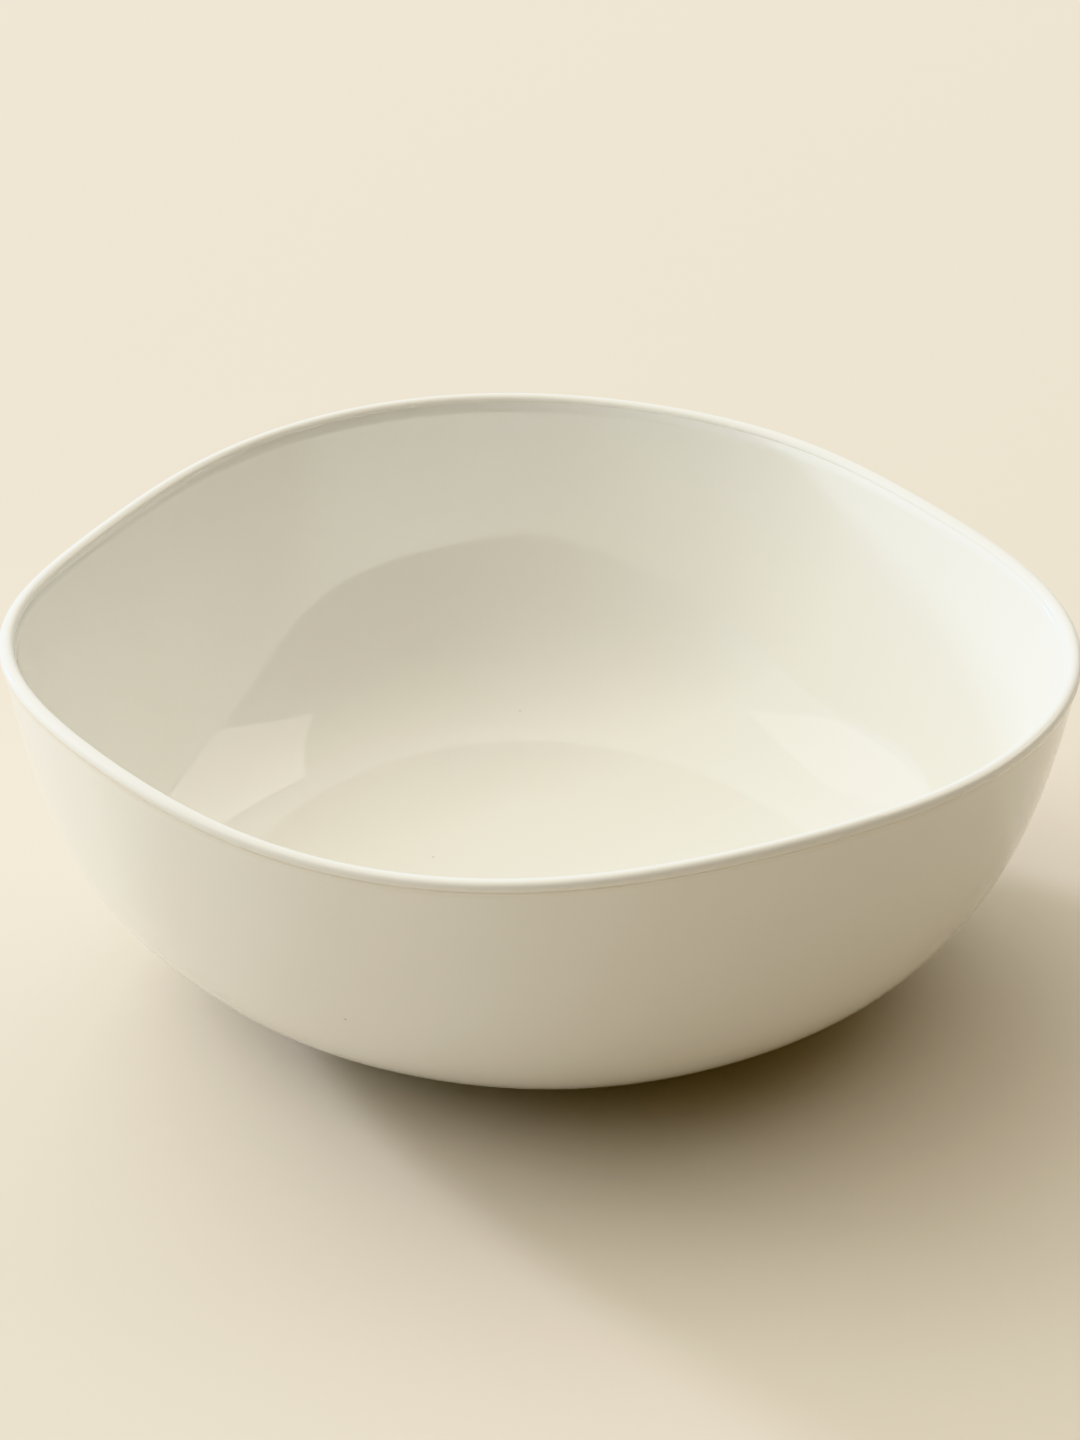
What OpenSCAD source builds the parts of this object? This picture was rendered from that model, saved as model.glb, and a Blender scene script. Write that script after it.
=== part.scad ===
// Porcelain serving bowl: soft square plan, gently waved rim with a rolled edge,
// one continuous round wall, and a low foot ring left bare of glaze.
// Millimetres. +Z is up. The origin is the centre of the foot ring, on the table.
// +Y points to the back corner and +X to the right corner of the soft square.

/* [Overall size] */
// Mean radius of the finished rim, measured to the outside of the rolled edge
rim_r = 100; // [80:1:140]
// Mean height of the finished rim above the table
rim_h = 72; // [55:1:100]

/* [Plan shape] */
// How far the two ends of the oval stand out at the rim
oval = 2.4; // [0:0.1:6]
// Direction of the oval's long way, degrees from +X
oval_dir = -24; // [-90:1:90]
// How far the egg's three full sides stand out at the rim
egg = 2.2; // [0:0.1:5]
// Direction of one of the egg's three full sides
egg_dir = -26; // [-60:1:60]
// How far the four soft corners stand out at the rim
square = 2.1; // [0:0.1:5]
// Direction of the first corner
square_dir = 3; // [-45:1:45]
// Small five-sided unevenness of the hand-shaped rim
uneven = 0.4; // [0:0.1:2]
// Direction of the unevenness
uneven_dir = -16; // [-36:1:36]
// How much the sides between the corners are flattened
flats = 0.75; // [0:0.05:2]
// Direction of the flats' pattern
flats_dir = 4; // [-30:1:30]
// How much the four corners are tightened
tight = 0.3; // [0:0.05:1]
// Direction of the tightening
tight_dir = 5; // [-22:1:22]
// How slowly the round foot turns into the soft square: a larger value keeps it round for longer
plan_spread = 1.3; // [1:0.1:3]

/* [Rim wave] */
// Lean of the rim from level, at its highest point
lean = 0.6; // [0:0.1:3]
// Direction the rim leans up towards
lean_dir = 155; // [-180:1:180]
// Saddle of the rim: how far its two high points rise
saddle = 0.6; // [0:0.1:3]
// Direction of one of the saddle's two high points
saddle_dir = -73; // [-90:1:90]
// Three-sided wave of the rim: how far its crests rise
wave = 1.3; // [0:0.1:3]
// Direction of one of its three crests
wave_dir = -57; // [-60:1:60]
// Four-sided wave of the rim: how far its crests rise
ripple = 1; // [0:0.1:3]
// Direction of one of its four crests
ripple_dir = 29; // [-45:1:45]

/* [Wall] */
// Wall thickness just under the rolled edge, glaze included
wall_rim_t = 2.6; // [2:0.1:4]
// Wall thickness over the foot ring, glaze included
wall_foot_t = 4.8; // [3.5:0.1:7]
// How far the wall runs out from the foot before it turns up
belly_out = 39; // [30:1:50]
// Rise of the wall where it leaves the foot, degrees
belly_rise = 4; // [2:1:12]
// How far below the rim the wall is already nearly upright
wall_up = 45.4; // [30:0.2:50]
// Angle of the wall at the rim, degrees from level
wall_angle = 81; // [70:1:88]

/* [Rolled edge] */
// Thickness of the rolled edge
bead_t = 3; // [2.4:0.1:4.5]
// Height of the rolled edge
bead_h = 2.6; // [2:0.1:4]
// Step in from the rolled edge to the wall under it
bead_step = 0.45; // [0.2:0.05:0.8]

/* [Foot ring] */
// Outer radius of the body's flat underside, where the wall starts
foot_r = 44; // [36:1:56]
// Height of the foot ring
foot_h = 3.2; // [2.6:0.1:5]
// Width of the foot ring where it joins the body
foot_w = 5.2; // [4:0.1:8]
// Bare rim of the underside left outside the foot ring
foot_inset = 0.7; // [0.5:0.1:1.5]
// How much narrower the foot ring is where it stands than where it joins the body
foot_taper = 0.6; // [0:0.1:1.2]
// Rounding of the foot ring's two bearing edges
foot_round = 0.9; // [0.4:0.1:1.2]

/* [Glaze] */
// Thickness of each glaze coat
glaze_t = 0.35; // [0.2:0.05:0.5]
// Bare band inside the foot ring, from its rounded edge up to the underside glaze
glaze_stop = 0.5; // [0.3:0.1:1]
// Radius of the glaze pooled in the corner between the foot ring and the underside
glaze_cove = 1.1; // [0.4:0.1:2]

/* [Hidden] */
porcelain = "#F4F1E8";
glaze_in = "#F8F6EF";
glaze_out = "#F6F3EA";
bare = "#E6DDCB";

steps = 80; // sides round the bowl
wall_n = 15; // steps up the wall
bead_n = 10; // steps round the rolled edge
floor_n = 5; // steps from the foot radius to the middle of the floor
arc_n = 4; // steps in each small rounding of the foot ring
turned_fn = 180; // sides of the turned shapes
bead_from = -40; // where the rolled edge starts, degrees from level outward
bead_turn = 215; // how far it rolls over from there
nudge = 0.01; // half step along the wall's curve, for finding its direction
thin_edge = 0.3; // share of the glaze thickness left at its bare edge
thin_rows = 2; // rows of points over which the glaze reaches its full thickness

// lobes: [how many round the bowl, size, direction]
PLAN = [[2, oval, oval_dir], [3, egg, egg_dir], [4, square, square_dir],
        [5, uneven, uneven_dir], [6, flats, flats_dir], [8, tight, tight_dir]];
WAVE = [[1, lean, lean_dir], [2, saddle, saddle_dir], [3, wave, wave_dir],
        [4, ripple, ripple_dir]];

// the fired body, inside the glaze
core_r = rim_r - glaze_t;
core_h = rim_h - glaze_t;
core_rim_t = wall_rim_t - 2 * glaze_t;
core_foot_t = wall_foot_t - 2 * glaze_t;
crown_rx = bead_t / 2 - glaze_t;
crown_rz = bead_h / 2 - glaze_t;
crown = [rim_r - bead_t / 2, rim_h - bead_h / 2];
wall_foot = [foot_r, foot_h];
wall_top = [core_r - bead_step, core_h - bead_h + glaze_t];
belly = wall_foot + belly_out * [cos(belly_rise), sin(belly_rise)];
shoulder = wall_top - wall_up * [cos(wall_angle), sin(wall_angle)];

function total(v) = v * [for (x = v) 1];
function lobes(list, a) = total([for (l = list) l[1] * cos(l[0] * (a - l[2]))]);
function share(x, a, b) = min(1, max(0, (x - a) / (b - a)));

// a profile point [radius, height] taken to its place at angle a: the plan shape
// grows from nothing at the foot, and the wave only shows near the rim
function place(p, a) =
    let (w = pow(sin(90 * share(p[0], foot_r, rim_r)), plan_spread))
    let (up = pow(share(p[1], foot_h, rim_h), 2))
    let (r = p[0] * (1 + w * lobes(PLAN, a) / rim_r))
    [r * cos(a), r * sin(a), p[1] + up * lobes(WAVE, a)];

// the cubic curve of the wall, its direction, and its left-hand side
function curve(t) = pow(1 - t, 3) * wall_foot + 3 * t * pow(1 - t, 2) * belly
    + 3 * t * t * (1 - t) * shoulder + t * t * t * wall_top;
function along(a, b) = (b - a) / norm(b - a);
function heading(t) = along(curve(max(0, t - nudge)), curve(min(1, t + nudge)));
function left_of(d) = [-d[1], d[0]];
function thick(t) = core_foot_t + (core_rim_t - core_foot_t) * t;
function inside(t) = curve(t) + thick(t) * left_of(heading(t));

// n + 1 points of an arc round c, from angle a, turning by b
function arc(c, rx, rz, a, b, n) = [for (i = [0 : n]) let (t = a + b * i / n)
    c + [rx * cos(t), rz * sin(t)]];

// the body's section: up the outside, over the rolled edge, down the inside to the middle;
// the floor is a shallow dish that meets the wall at the wall's own slope
floor_edge = inside(0);
floor_dip = floor_edge[0] * tan(belly_rise) / 2;
outer_side = [for (i = [0 : wall_n]) curve(i / wall_n)];
rolled = arc(crown, crown_rx, crown_rz, bead_from, bead_turn, bead_n);
inner_side = [for (i = [wall_n - 1 : -1 : 0]) inside(i / wall_n)];
dish = [for (i = [floor_n - 1 : -1 : 1]) let (s = i / floor_n)
    [floor_edge[0] * s, floor_edge[1] - floor_dip * (1 - s * s)]];
middle = [0, floor_edge[1] - floor_dip];
core = concat(outer_side, rolled, inner_side, dish);
last = len(core) - 1;
break_row = len(outer_side) + len(rolled) - 1; // where the outer and inner glaze meet

// the glaze surface: each point moved out square to the section; it thins out at the foot
function coat(i) = glaze_t * (thin_edge + (1 - thin_edge) * share(i, 0, thin_rows));
function facing(i) = let (d = along(core[max(0, i - 1)], i < last ? core[i + 1] : middle))
    [d[1], -d[0]];
skin = [for (i = [0 : last]) core[i] + coat(i) * facing(i)];

function ring(p) = [for (k = [0 : steps - 1]) place(p, 360 * k / steps)];
function flat(v) = [for (x = v) each x];
// the faces between row a and row b of points, always cut along the same diagonal
function band(a, b) = [for (k = [0 : steps - 1]) let (n = (k + 1) % steps)
    each [[a * steps + k, b * steps + n, a * steps + n],
          [a * steps + k, b * steps + k, b * steps + n]]];
function turned(faces) = [for (f = faces) [f[2], f[1], f[0]]];
// a fan from row a to the single point at index tip
function fan(a, tip) = [for (k = [0 : steps - 1]) [a * steps + k, tip, a * steps + (k + 1) % steps]];

module porcelain_body() {
    tip = len(core) * steps;
    color(porcelain)
        polyhedron(
            points = concat(flat([for (p = core) ring(p)]),
                            [[0, 0, middle[1]], [0, 0, foot_h]]),
            faces = concat(flat([for (i = [0 : last - 1]) band(i, i + 1)]),
                           fan(last, tip), turned(fan(0, tip + 1))));
}

// a glaze coat over rows from to to; the point of each end is closed against the body
module coat_rows(from, to) {
    n = to - from + 1;
    polyhedron(
        points = concat(flat([for (i = [from : to]) ring(skin[i])]),
                        flat([for (i = [from : to]) ring(core[i])])),
        faces = concat(flat([for (i = [0 : n - 2]) band(i, i + 1)]),
                       flat([for (i = [0 : n - 2]) turned(band(n + i, n + i + 1))]),
                       turned(band(0, n)), band(n - 1, 2 * n - 1)));
}

module outer_glaze() {
    color(glaze_out) coat_rows(0, break_row);
}

module inner_glaze() {
    n = last - break_row + 1;
    tip = 2 * n * steps;
    color(glaze_in)
        polyhedron(
            points = concat(flat([for (i = [break_row : last]) ring(skin[i])]),
                            flat([for (i = [break_row : last]) ring(core[i])]),
                            [[0, 0, middle[1] + glaze_t], [0, 0, middle[1]]]),
            faces = concat(flat([for (i = [0 : n - 2]) band(i, i + 1)]),
                           flat([for (i = [0 : n - 2]) turned(band(n + i, n + i + 1))]),
                           turned(band(0, n)), fan(n - 1, tip),
                           turned(fan(2 * n - 1, tip + 1))));
}

ring_out = foot_r - foot_inset;
ring_in = ring_out - foot_w;
stand_out = ring_out - foot_taper;
glaze_line = foot_round + glaze_stop;
glaze_in_r = ring_in - glaze_t;
cove = min(glaze_cove, foot_h - glaze_line - 2 * glaze_t);

module foot_ring() {
    color(bare)
        rotate_extrude($fn = turned_fn)
            polygon(concat(
                [[ring_in, foot_h], [ring_in, glaze_line]],
                arc([ring_in + foot_round, foot_round], foot_round, foot_round, 180, 90, arc_n),
                arc([stand_out - foot_round, foot_round], foot_round, foot_round, 270, 90, arc_n),
                [[ring_out, foot_h]]));
}

// the glaze inside the foot ring: up the ring's inner side, round the corner and across
module underside_glaze() {
    color(glaze_out)
        rotate_extrude($fn = turned_fn)
            polygon(concat(
                [[0, foot_h], [ring_in, foot_h], [ring_in, glaze_line],
                 [glaze_in_r, glaze_line + glaze_t]],
                arc([glaze_in_r - cove, foot_h - glaze_t - cove], cove, cove, 0, 90, arc_n),
                [[0, foot_h - glaze_t]]));
}

porcelain_body();
foot_ring();
outer_glaze();
inner_glaze();
underside_glaze();
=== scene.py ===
# Porcelain serving bowl: a soft square, wavy-rimmed bowl in glazed white porcelain.
# Every piece is turned by one Geometry Nodes tree from its own section.
import bpy
import math
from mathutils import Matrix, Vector


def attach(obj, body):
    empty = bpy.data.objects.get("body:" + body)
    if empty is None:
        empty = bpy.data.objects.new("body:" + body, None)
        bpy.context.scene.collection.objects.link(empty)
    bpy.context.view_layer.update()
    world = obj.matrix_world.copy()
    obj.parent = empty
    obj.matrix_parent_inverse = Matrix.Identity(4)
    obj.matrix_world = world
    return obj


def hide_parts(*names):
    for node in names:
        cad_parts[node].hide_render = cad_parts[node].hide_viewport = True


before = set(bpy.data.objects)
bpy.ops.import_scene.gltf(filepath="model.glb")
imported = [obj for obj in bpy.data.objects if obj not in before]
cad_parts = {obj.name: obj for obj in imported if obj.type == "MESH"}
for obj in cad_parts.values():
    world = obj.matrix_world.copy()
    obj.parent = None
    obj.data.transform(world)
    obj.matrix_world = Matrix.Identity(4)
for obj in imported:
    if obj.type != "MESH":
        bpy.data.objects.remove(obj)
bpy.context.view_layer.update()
MM = 0.001

# ---------------------------------------------------------------- sizes in mm, as the design has them
RIM_R, RIM_H = 100.0, 72.0            # mean rim radius and height
FOOT_R, FOOT_H = 44.0, 3.2            # where the wall starts
# lobes of the plan and of the rim's wave: name, how many round the bowl, size, direction in degrees
PLAN = (("Oval", 2, 2.4, -24), ("Egg", 3, 2.2, -26), ("Square", 4, 2.1, 3),
        ("Uneven", 5, 0.4, -16), ("Flats", 6, 0.75, 4), ("Tight", 8, 0.3, 5))
WAVE = (("Lean", 1, 0.6, 155), ("Saddle", 2, 0.6, -73), ("Wave", 3, 1.3, -57), ("Ripple", 4, 1.0, 29))
PLAN_SPREAD = 1.3                     # how slowly the round foot turns into the soft square
WALL_RIM_T, WALL_FOOT_T = 2.6, 4.8    # wall thickness, glaze included
BELLY_OUT, BELLY_RISE = 39.0, 4       # the wall's run out from the foot, and its slope there
WALL_UP, WALL_ANGLE = 45.4, 81        # the wall's upright part, and its slope at the rim
BEAD_T, BEAD_H, BEAD_STEP = 3.0, 2.6, 0.45
BEAD_FROM, BEAD_TURN = -40, 215       # the rolled edge's arc, degrees from level outward
FOOT_W, FOOT_INSET, FOOT_ROUND, FOOT_TAPER = 5.2, 0.7, 0.9, 0.6
GLAZE_T, GLAZE_STOP, GLAZE_COVE = 0.35, 0.5, 1.1
THIN_EDGE, THIN_RUN = 0.3, 1.75       # share of the glaze at its lower edge, and the run it fills out over
WELD = 0.002                          # how near points are joined, where a sheet closes on itself

SIDES = 240                           # round a glazed piece
HIDDEN_SIDES = 160                    # round the body, which the glaze covers


# ---------------------------------------------------------------- sections: points of (radius, height)
def heading(degrees):
    a = math.radians(degrees)
    return Vector((math.cos(a), math.sin(a)))


WALL_FOOT = Vector((FOOT_R, FOOT_H))
WALL_TOP = Vector((RIM_R - GLAZE_T - BEAD_STEP, RIM_H - BEAD_H))
BELLY = WALL_FOOT + BELLY_OUT * heading(BELLY_RISE)
SHOULDER = WALL_TOP - WALL_UP * heading(WALL_ANGLE)
CROWN = Vector((RIM_R - BEAD_T / 2, RIM_H - BEAD_H / 2))


def arc(centre, rx, ry, start, turn, n):
    """n + 1 points round a centre, from an angle and turning by another."""
    around = [heading(start + turn * i / n) for i in range(n + 1)]
    return [centre + Vector((rx * h.x, ry * h.y)) for h in around]


def wall(t):
    """A point on the outside of the fired wall, from the foot (0) to under the rolled edge (1)."""
    s = 1 - t
    return s ** 3 * WALL_FOOT + 3 * t * s * s * BELLY + 3 * t * t * s * SHOULDER + t ** 3 * WALL_TOP


def inside(t):
    """The point straight through the wall from wall(t)."""
    nudge = 0.01
    along = (wall(min(1, t + nudge)) - wall(max(0, t - nudge))).normalized()
    thick = WALL_FOOT_T + (WALL_RIM_T - WALL_FOOT_T) * t - 2 * GLAZE_T
    return wall(t) + thick * Vector((-along.y, along.x))


def body_section(wall_n, edge_n, floor_n):
    """The fired body's section: up the outside, over the rolled edge and down the inside to the middle.
    Also gives the row where the outer glaze meets the inner one."""
    rows = [wall(i / wall_n) for i in range(wall_n + 1)]
    rows += arc(CROWN, BEAD_T / 2 - GLAZE_T, BEAD_H / 2 - GLAZE_T, BEAD_FROM, BEAD_TURN, edge_n)
    meet = len(rows) - 1
    rows += [inside(i / wall_n) for i in range(wall_n - 1, -1, -1)]
    edge = inside(0)
    dip = edge.x * math.tan(math.radians(BELLY_RISE)) / 2
    for i in range(floor_n - 1, -1, -1):
        s = i / floor_n
        rows.append(Vector((edge.x * s, edge.y - dip * (1 - s * s))))
    return rows, meet


def glaze_over(rows):
    """The glaze surface over a section, thinning out towards the foot."""
    out, run = [], 0.0
    for i, p in enumerate(rows):
        before, after = rows[max(0, i - 1)], rows[min(len(rows) - 1, i + 1)]
        run += (p - before).length
        along = (after - before).normalized() if i < len(rows) - 1 else Vector((-1, 0))
        coat = GLAZE_T * (THIN_EDGE + (1 - THIN_EDGE) * min(1, run / THIN_RUN))
        out.append(p + coat * Vector((along.y, -along.x)))
    return out


def painted_crease_shade(section):
    """Painted shade, from 0 to 1: darker in the groove under the rolled edge and at the foot, where shade
    falls.
    """
    def near(p, place, reach):
        return math.exp(-((p - place).length / reach) ** 2)
    return [max(0.8 * near(p, WALL_TOP, 0.55), near(p, WALL_FOOT, 1.2)) for p in section]


# ---------------------------------------------------------------- nodes
MATHS = "ShaderNodeMath"
XYZ = "ShaderNodeSeparateXYZ"


def add(tree, kind, *inputs, out=0, **settings):
    """Adds a node and its settings. Its inputs come in order, or by name in one dict, and each is a value
    or the socket that feeds it. Gives back the output asked for."""
    node = tree.nodes.new(kind)
    for key, value in settings.items():
        setattr(node, key, value)
    feeds = inputs[0] if inputs and isinstance(inputs[0], dict) else dict(enumerate(inputs))
    for key, value in feeds.items():
        if isinstance(value, bpy.types.NodeSocket):
            tree.links.new(value, node.inputs[key])
        else:
            node.inputs[key].default_value = value
    return node.outputs[out] if len(node.outputs) else None


def new_tree(name, inputs, output, output_kind):
    """A Geometry Nodes group with named inputs, each a (name, kind, default)."""
    tree = bpy.data.node_groups.new(name, "GeometryNodeTree")
    for label, kind, default in inputs:
        made = tree.interface.new_socket(label, in_out="INPUT", socket_type="NodeSocket" + kind)
        if default is not None:
            made.default_value = default
    tree.interface.new_socket(output, in_out="OUTPUT", socket_type="NodeSocket" + output_kind)
    return tree, tree.nodes.new("NodeGroupInput").outputs


def lobe_tree():
    """size x cos(count x (angle - direction)): one even pattern of lobes round the bowl."""
    inputs = (("Angle", "Float", 0.0), ("Count", "Float", 4.0),
              ("Size", "Float", 0.002), ("Direction", "Float", 0.0))
    t, given = new_tree("Lobes round the bowl", inputs, "Height", "Float")
    direction = add(t, MATHS, given["Direction"], operation="RADIANS")
    turned = add(t, MATHS, given["Angle"], direction, operation="SUBTRACT")
    wave = add(t, MATHS, add(t, MATHS, given["Count"], turned, operation="MULTIPLY"), operation="COSINE")
    add(t, "NodeGroupOutput", add(t, MATHS, given["Size"], wave, operation="MULTIPLY"))
    return t


def turning_tree():
    """Turns a section into a piece of the bowl. The plan grows from round at the foot to its soft square
    at the rim, and the rim's wave fades out downwards."""
    inputs = [("Section", "Geometry", None), ("Sides", "Int", SIDES), ("Finish", "Material", None),
              ("Rim radius", "Float", RIM_R * MM), ("Rim height", "Float", RIM_H * MM),
              ("Foot radius", "Float", FOOT_R * MM), ("Foot height", "Float", FOOT_H * MM),
              ("Plan spread", "Float", PLAN_SPREAD)]
    for name, _, size, direction in PLAN + WAVE:
        inputs += [(name, "Float", size * MM), (name + " direction", "Float", direction)]
    t, given = new_tree("Soft square turning", inputs, "Piece", "Geometry")
    t.is_modifier = True

    # a flat sheet with one row for each point of the section and one column for each side
    rows = add(t, "GeometryNodeAttributeDomainSize", given["Section"], out="Point Count", component="MESH")
    columns = add(t, MATHS, given["Sides"], 1.0, operation="ADD")
    sheet = add(t, "GeometryNodeMeshGrid", 1.0, 1.0, rows, columns)
    here = add(t, "GeometryNodeInputPosition")
    across = add(t, MATHS, add(t, XYZ, here, out="X"), 0.5, operation="ADD")
    last_row = add(t, MATHS, rows, 1.0, operation="SUBTRACT")
    row = add(t, MATHS, add(t, MATHS, across, last_row, operation="MULTIPLY"), operation="ROUND")
    round_share = add(t, MATHS, add(t, XYZ, here, out="Y"), 0.5, operation="ADD")
    angle = add(t, MATHS, round_share, 2 * math.pi, operation="MULTIPLY")

    # each row's point of the section, and how much painted shade it carries
    point = add(t, "GeometryNodeSampleIndex", {"Geometry": given["Section"], "Value": here, "Index": row},
                data_type="FLOAT_VECTOR", domain="POINT")
    radius, height = add(t, XYZ, point, out="X"), add(t, XYZ, point, out="Z")
    crease_shade = add(t, "GeometryNodeInputNamedAttribute", "crease_shade", data_type="FLOAT")
    painted_shade = add(t, "GeometryNodeSampleIndex", {"Geometry": given["Section"], "Value": crease_shade, "Index": row},
                 data_type="FLOAT", domain="POINT")

    lobe = lobe_tree()
    heights = []
    for lobes in (PLAN, WAVE):
        total = 0.0
        for name, count, _, _ in lobes:
            one = add(t, "GeometryNodeGroup", {
                "Angle": angle, "Count": float(count), "Size": given[name],
                "Direction": given[name + " direction"]}, node_tree=lobe)
            total = add(t, MATHS, total, one, operation="ADD")
        heights.append(total)
    plan, wave = heights

    out_share = add(t, "ShaderNodeMapRange", {
        "Value": radius, "From Min": given["Foot radius"], "From Max": given["Rim radius"]}, clamp=True)
    quarter = add(t, MATHS, out_share, math.pi / 2, operation="MULTIPLY")
    eased = add(t, MATHS, quarter, operation="SINE")
    spread = add(t, MATHS, eased, given["Plan spread"], operation="POWER")
    relative = add(t, MATHS, plan, given["Rim radius"], operation="DIVIDE")
    swell = add(t, MATHS, spread, relative, 1.0, operation="MULTIPLY_ADD")
    swelled = add(t, MATHS, radius, swell, operation="MULTIPLY")
    up_share = add(t, "ShaderNodeMapRange", {
        "Value": height, "From Min": given["Foot height"], "From Max": given["Rim height"]}, clamp=True)
    # the wave also fades towards the middle, so that each row's points meet there
    from_middle = add(t, "ShaderNodeMapRange", {
        "Value": radius, "From Max": given["Foot radius"]}, clamp=True)
    risen = add(t, MATHS, up_share, 2.0, operation="POWER")
    fade = add(t, MATHS, risen, from_middle, operation="MULTIPLY")
    raised = add(t, MATHS, fade, wave, height, operation="MULTIPLY_ADD")
    x = add(t, MATHS, swelled, add(t, MATHS, angle, operation="COSINE"), operation="MULTIPLY")
    y = add(t, MATHS, swelled, add(t, MATHS, angle, operation="SINE"), operation="MULTIPLY")

    # the painted shade of the groove and the foot is kept on the sheet for the finish
    marked = add(t, "GeometryNodeStoreNamedAttribute", {"Geometry": sheet, "Name": "crease_shade", "Value": painted_shade},
                 data_type="FLOAT", domain="POINT")
    shaped = add(t, "GeometryNodeSetPosition",
                 {"Geometry": marked, "Position": add(t, "ShaderNodeCombineXYZ", x, y, raised)})
    closed = add(t, "GeometryNodeMergeByDistance", {"Geometry": shaped, "Distance": WELD * MM})
    outward = add(t, "GeometryNodeFlipFaces", closed)
    smooth = add(t, "GeometryNodeSetShadeSmooth", {"Geometry": outward, "Shade Smooth": True})
    real = add(t, "GeometryNodeRealizeInstances", smooth)
    finished = add(t, "GeometryNodeSetMaterial", {"Geometry": real, "Material": given["Finish"]})
    add(t, "NodeGroupOutput", finished)
    return t


TURNING = turning_tree()


def turn(name, section, finish, slot, node, sides=SIDES):
    """Makes a piece from its section, which runs anticlockwise, and lets it stand for its CAD node."""
    source = bpy.data.meshes.new(name + " section")
    source.from_pydata([(p.x * MM, 0, p.y * MM) for p in section],
                       [(k, k + 1) for k in range(len(section) - 1)], [])
    # painted shade in the groove under the rolled edge and at the foot, carried as a point attribute
    source.attributes.new("crease_shade", "FLOAT", "POINT").data.foreach_set("value", painted_crease_shade(section))
    draft = bpy.data.objects.new(name + " draft", source)
    bpy.context.scene.collection.objects.link(draft)
    turning = draft.modifiers.new("Soft square turning", "NODES")
    turning.node_group = TURNING
    key = {s.name: s.identifier for s in TURNING.interface.items_tree if s.in_out == "INPUT"}
    turning[key["Sides"]] = sides
    turning[key["Finish"]] = finish
    bpy.context.view_layer.update()
    graph = bpy.context.evaluated_depsgraph_get()
    mesh = bpy.data.meshes.new_from_object(
        draft.evaluated_get(graph), preserve_all_data_layers=True, depsgraph=graph)
    draft.modifiers.remove(turning)
    bpy.data.objects.remove(draft)
    mesh.name = name
    piece = bpy.data.objects.new(name, mesh)
    bpy.context.scene.collection.objects.link(piece)
    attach(piece, "root")
    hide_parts(node)
    return piece


# ---------------------------------------------------------------- finishes
def linear(hex_colour):
    """An sRGB hex colour as linear RGBA."""
    def one(v):
        return v / 12.92 if v <= 0.04045 else ((v + 0.055) / 1.055) ** 2.4
    return tuple(one(int(hex_colour[k:k + 2], 16) / 255) for k in (1, 3, 5)) + (1.0,)


def new_finish(name):
    finish = bpy.data.materials.new(name)
    finish.use_nodes = True
    finish.node_tree.nodes.clear()
    return finish, finish.node_tree


def glazed_porcelain(name, colour, cloud_and_shade_colour):
    """Hard white porcelain under a clear gloss glaze, dipped and fired: an even warm white that
    hardly varies, a wet shine with sharp reflections, and a skin that is not quite flat."""
    finish, t = new_finish(name)
    here = add(t, "ShaderNodeTexCoord", out="Object")
    # cloudy patches 60 mm across, where the coat is a little thicker and warmer
    cloud = add(t, "ShaderNodeTexNoise", {
        "Vector": here, "Scale": 1 / 0.060, "Detail": 2.0, "Roughness": 0.45})
    cloudy = add(t, "ShaderNodeMapRange", {
        "Value": cloud, "From Min": 0.35, "From Max": 0.7, "To Max": 0.35})
    # painted shade: a deeper colour in the groove under the rolled edge and at the foot, where shade falls,
    # mixed with the random cloudy patches
    painted_shade = add(t, "ShaderNodeAttribute", out="Fac", attribute_name="crease_shade")
    cloud_and_shade = add(t, MATHS, cloudy, painted_shade, operation="MAXIMUM")
    base = add(t, "ShaderNodeMix", {"Factor": cloud_and_shade, 6: linear(colour), 7: linear(cloud_and_shade_colour)},
               out=2, data_type="RGBA")
    # tiny iron specks, 0.2 mm across and 30 mm or more apart, drawn 0.5 mm so that they show
    cells = add(t, "ShaderNodeTexVoronoi", {"Vector": here, "Scale": 1 / 0.030, "Randomness": 1.0},
                feature="F1")
    speck = add(t, "ShaderNodeMapRange", {
        "Value": cells, "From Min": 0.006, "From Max": 0.014, "To Min": 0.45, "To Max": 0.0})
    tinted = add(t, "ShaderNodeMix", {"Factor": speck, 6: base, 7: linear("#9A8468")},
                 out=2, data_type="RGBA")
    # the glaze skin: long soft swells 14 mm apart and a finer skin 2.5 mm apart, far under a hair deep
    swell = add(t, "ShaderNodeTexNoise", {"Vector": here, "Scale": 1 / 0.014, "Detail": 1.0})
    swelled = add(t, "ShaderNodeBump", {"Height": swell, "Strength": 0.25, "Distance": 0.00006})
    skin = add(t, "ShaderNodeTexNoise", {"Vector": here, "Scale": 1 / 0.0025, "Detail": 1.0})
    skinned = add(t, "ShaderNodeBump", {
        "Height": skin, "Strength": 0.1, "Distance": 0.00001, "Normal": swelled})
    # the shine dulls by a hair where the bowl is handled
    dull = add(t, "ShaderNodeMapRange", {
        "Value": cloud, "From Min": 0.3, "From Max": 0.7, "To Min": 0.03, "To Max": 0.055})
    shader = add(t, "ShaderNodeBsdfPrincipled", {
        "Base Color": tinted, "Roughness": dull, "IOR": 1.52, "Normal": skinned})
    add(t, "ShaderNodeOutputMaterial", shader)
    return finish


def fired_porcelain():
    """Fired porcelain under the glaze: dense, white and eggshell smooth. It hardly shows."""
    finish, t = new_finish("Fired porcelain")
    here = add(t, "ShaderNodeTexCoord", out="Object")
    grain = add(t, "ShaderNodeTexNoise", {"Vector": here, "Scale": 1 / 0.0012, "Detail": 2.0})
    base = add(t, "ShaderNodeMix", {"Factor": grain, 6: linear("#F1EDE3"), 7: linear("#E9E3D5")},
               out=2, data_type="RGBA")
    add(t, "ShaderNodeOutputMaterial",
        add(t, "ShaderNodeBsdfPrincipled", {"Base Color": base, "Roughness": 0.55, "IOR": 1.5}))
    return finish


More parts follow.
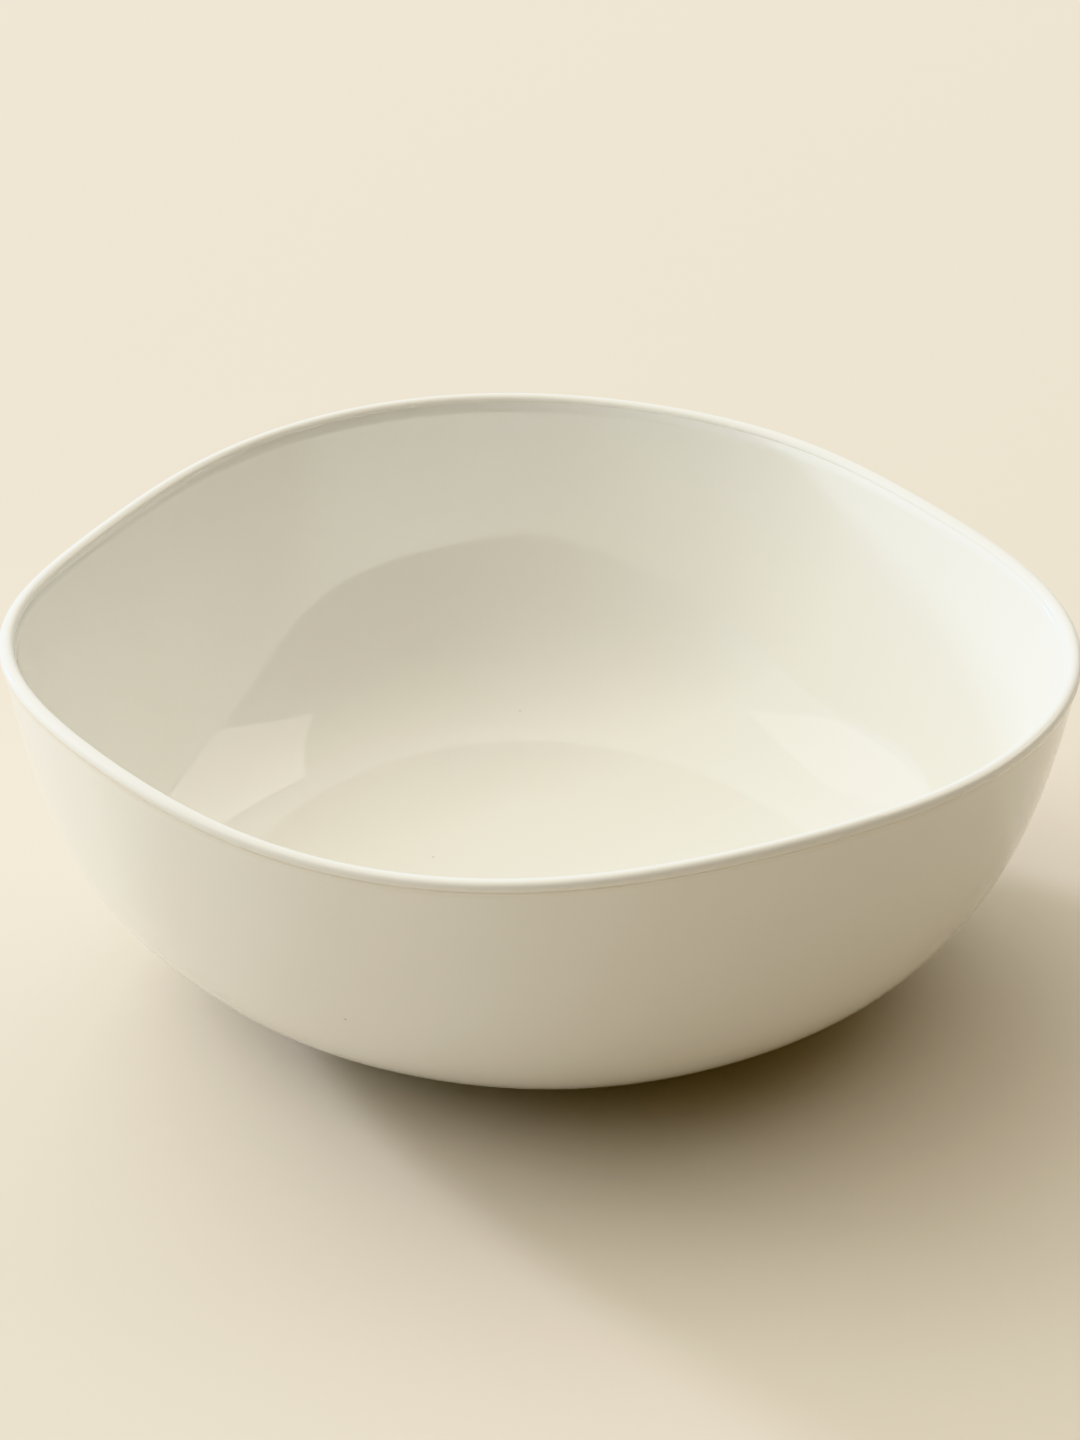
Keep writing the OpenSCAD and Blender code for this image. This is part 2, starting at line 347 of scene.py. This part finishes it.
def bare_biscuit():
    """Bare ground porcelain on the foot ring: matt, faintly sandy, and greyed where it has rubbed
    on tables."""
    finish, t = new_finish("Bare biscuit porcelain")
    here = add(t, "ShaderNodeTexCoord", out="Object")
    stain = add(t, "ShaderNodeTexNoise", {"Vector": here, "Scale": 1 / 0.018, "Detail": 4.0})
    rubbed = add(t, "ShaderNodeMapRange", {"Value": stain, "From Min": 0.4, "From Max": 0.75})
    base = add(t, "ShaderNodeMix", {"Factor": rubbed, 6: linear("#E9E1D1"), 7: linear("#C9BCA6")},
               out=2, data_type="RGBA")
    grit = add(t, "ShaderNodeTexNoise", {"Vector": here, "Scale": 1 / 0.0005, "Detail": 3.0})
    sandy = add(t, "ShaderNodeBump", {"Height": grit, "Strength": 0.5, "Distance": 0.00006})
    add(t, "ShaderNodeOutputMaterial",
        add(t, "ShaderNodeBsdfPrincipled", {
            "Base Color": base, "Roughness": 0.78, "IOR": 1.5, "Normal": sandy}))
    return finish


OUTSIDE = glazed_porcelain("Gloss glaze outside", "#F7F4EC", "#EFEADD")
INSIDE = glazed_porcelain("Gloss glaze inside", "#F8F6EF", "#F2EEE3")
UNDERNEATH = glazed_porcelain("Gloss glaze underneath", "#F5F1E7", "#ECE6D7")

# ---------------------------------------------------------------- pieces
core, meet = body_section(wall_n=90, edge_n=40, floor_n=26)
skin = glaze_over(core)
outer = skin[:meet + 1] + core[meet::-1] + skin[:1]
turn("Outer_glaze_coat", outer, OUTSIDE, "outer_glaze", "outer_glaze")
inner = core[:meet - 1:-1] + skin[meet:]
turn("Inner_glaze_coat", inner, INSIDE, "inner_glaze", "inner_glaze")

hidden_core, _ = body_section(wall_n=40, edge_n=16, floor_n=10)
turn("Porcelain_body", [Vector((0, FOOT_H))] + hidden_core, fired_porcelain(), "porcelain",
     "porcelain_body", HIDDEN_SIDES)

ring_out = FOOT_R - FOOT_INSET
ring_in = ring_out - FOOT_W
stand_out = ring_out - FOOT_TAPER
glaze_line = FOOT_ROUND + GLAZE_STOP
ring = [Vector((ring_in, FOOT_H)), Vector((ring_in, glaze_line))]
ring += arc(Vector((ring_in + FOOT_ROUND, FOOT_ROUND)), FOOT_ROUND, FOOT_ROUND, 180, 90, 8)
ring += arc(Vector((stand_out - FOOT_ROUND, FOOT_ROUND)), FOOT_ROUND, FOOT_ROUND, 270, 90, 8)
ring += [Vector((ring_out, FOOT_H)), ring[0]]
turn("Bare_foot_ring", ring, bare_biscuit(), "bare_foot", "foot_ring")

glaze_in = ring_in - GLAZE_T
cove = min(GLAZE_COVE, FOOT_H - glaze_line - 2 * GLAZE_T)
flat_n = 12
corner = Vector((glaze_in - cove, FOOT_H - GLAZE_T - cove))
well = [Vector((corner.x * k / flat_n, FOOT_H - GLAZE_T)) for k in range(flat_n)]
well += arc(corner, cove, cove, 90, -90, 8)
well += [Vector((glaze_in, glaze_line + GLAZE_T)), Vector((ring_in, glaze_line)),
         Vector((ring_in, FOOT_H)), Vector((0, FOOT_H))]
turn("Underside_glaze_coat", well, UNDERNEATH, "underside_glaze", "underside_glaze")


# ---------------------------------------------------------------- floor, light and camera
def matt_floor():
    """A plain pale floor, sand coloured and quite matt."""
    finish, t = new_finish("Pale matt floor")
    add(t, "ShaderNodeOutputMaterial",
        add(t, "ShaderNodeBsdfPrincipled",
            {"Base Color": linear("#DFD6C7"), "Roughness": 0.9, "Specular IOR Level": 0.15}))
    return finish


half = 4.0
floor_mesh = bpy.data.meshes.new("Floor")
floor_mesh.from_pydata(
    [(-half, -half, 0), (half, -half, 0), (half, half, 0), (-half, half, 0)], [], [(0, 1, 2, 3)])
floor_mesh.materials.append(matt_floor())
floor = bpy.data.objects.new("Floor", floor_mesh)
bpy.context.scene.collection.objects.link(floor)


def soft_light(name, azimuth, elevation, distance, width, height, power, colour):
    """A studio softbox at that bearing and height, facing the middle of the bowl."""
    aim = Vector((0, 0, 0.03))
    data = bpy.data.lights.new(name, "AREA")
    data.shape, data.size, data.size_y = "RECTANGLE", width, height
    data.energy, data.color = power, linear(colour)[:3]
    level, up = heading(azimuth), heading(elevation)
    lamp = bpy.data.objects.new(name, data)
    lamp.location = aim + distance * Vector((level.x * up.x, level.y * up.x, up.y))
    lamp.rotation_euler = (aim - lamp.location).to_track_quat("-Z", "Y").to_euler()
    bpy.context.scene.collection.objects.link(lamp)
    return lamp


# azimuth and elevation in degrees, then distance, width and height in metres, and watts
soft_light("Key softbox", 139, 13, 3.0, 0.3, 0.3, 70, "#E8EEFF")
soft_light("Window softbox", 160, 34, 2.5, 1.2, 1.1, 8, "#FFFAF2")
soft_light("Side card", 36, 38, 2.5, 1.5, 1.3, 9, "#FFF8EC")


def soft_room():
    """A pale room: cool daylight from the window's side, a warm ceiling that is brightest towards it,
    and dim walls everywhere else."""
    world = bpy.data.worlds.new("Soft room")
    bpy.context.scene.world = world
    world.use_nodes = True
    t = world.node_tree
    t.nodes.clear()
    way = add(t, "ShaderNodeTexCoord", out="Generated")
    window = heading(138)
    toward = add(t, "ShaderNodeVectorMath", way, (window.x, window.y, 0),
                 out="Value", operation="DOT_PRODUCT")
    share = add(t, "ShaderNodeMapRange", {"Value": toward, "From Min": -1.0})
    glow = add(t, MATHS, share, 3.0, operation="POWER")
    daylight = add(t, "ShaderNodeBackground", linear("#C3E3FF"),
                   add(t, MATHS, glow, 1.8, operation="MULTIPLY"))
    rise = heading(62)
    above = (window.x * rise.x, window.y * rise.x, rise.y)
    aloft = add(t, "ShaderNodeVectorMath", way, above, out="Value", operation="DOT_PRODUCT")
    height = add(t, "ShaderNodeMapRange", {"Value": aloft})
    overhead = add(t, MATHS, height, 2.0, operation="POWER")
    ceiling = add(t, "ShaderNodeBackground", linear("#FFF3DA"),
                  add(t, MATHS, overhead, 1.52, operation="MULTIPLY"))
    walls = add(t, "ShaderNodeBackground", linear("#FFE2BE"), 0.07)
    lit = add(t, "ShaderNodeAddShader", add(t, "ShaderNodeAddShader", daylight, ceiling), walls)
    add(t, "ShaderNodeOutputWorld", lit)


soft_room()
# true colours, with the brightest whites held back so that the glaze keeps its shading
bpy.context.scene.view_settings.view_transform = "Khronos PBR Neutral"

camera_data = bpy.data.cameras.new("Camera")
camera_data.sensor_fit = "VERTICAL"
camera_data.sensor_height = 24
camera_data.lens = 80.3
camera = bpy.data.objects.new("Camera", camera_data)
camera.location = (0.0002, -0.8259, 0.5139)
camera.rotation_euler = (math.radians(90 - 29.35), 0, 0)
bpy.context.scene.collection.objects.link(camera)
bpy.context.scene.camera = camera

bpy.context.view_layer.update()
